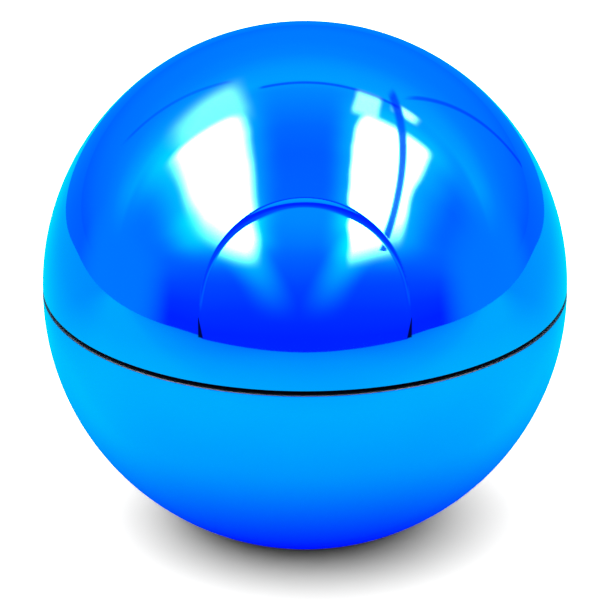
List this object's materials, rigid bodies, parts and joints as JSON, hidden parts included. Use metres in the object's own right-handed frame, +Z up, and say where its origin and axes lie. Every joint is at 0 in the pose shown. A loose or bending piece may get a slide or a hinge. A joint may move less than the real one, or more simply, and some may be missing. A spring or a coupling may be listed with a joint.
{
  "type": "spherical lip balm case",
  "caption": "Ball-shaped pot of two mirror-blue half shells with an open seam, a thumb recess and a twist-lock lid over a domed balm.",
  "frame": {"origin": "centre of the flat foot, on the surface that the ball stands on", "axes": "+Z up along the axis of both half shells and of the twist lock, -Y towards the thumb recess on the lid"},
  "size_m": [0.04, 0.04, 0.0389],
  "materials": {
    "mirror_blue": "vacuum metallised ABS under a clear blue lacquer, mirror gloss",
    "label_film": "blank silver-white film label",
    "black_insert": "satin moulded polypropylene",
    "natural_grid": "natural translucent polypropylene",
    "balm_wax": "satin ivory wax",
    "seal_foam": "matt closed-cell foam"
  },
  "bodies": {
    "base": {"base_shell": "mirror_blue", "base_label": "label_film", "base_neck": "black_insert", "balm_holder": "natural_grid", "balm_dome": "balm_wax"},
    "lid_seal": {"seal_ring": "seal_foam"},
    "lid": {"lid_liner": "black_insert", "lid_shell": "mirror_blue"}
  },
  "joints": [
    {"name": "lid_lift", "type": "slide", "parent": "base", "child": "lid_seal", "axis": [0, 0, 1], "range_m": [0, 0.034]},
    {"name": "lid_turn", "type": "hinge", "parent": "lid_seal", "child": "lid", "pos_m": [0, 0, 0.0188], "axis": [0, 0, 1], "range_deg": [-60, 0]}
  ]
}
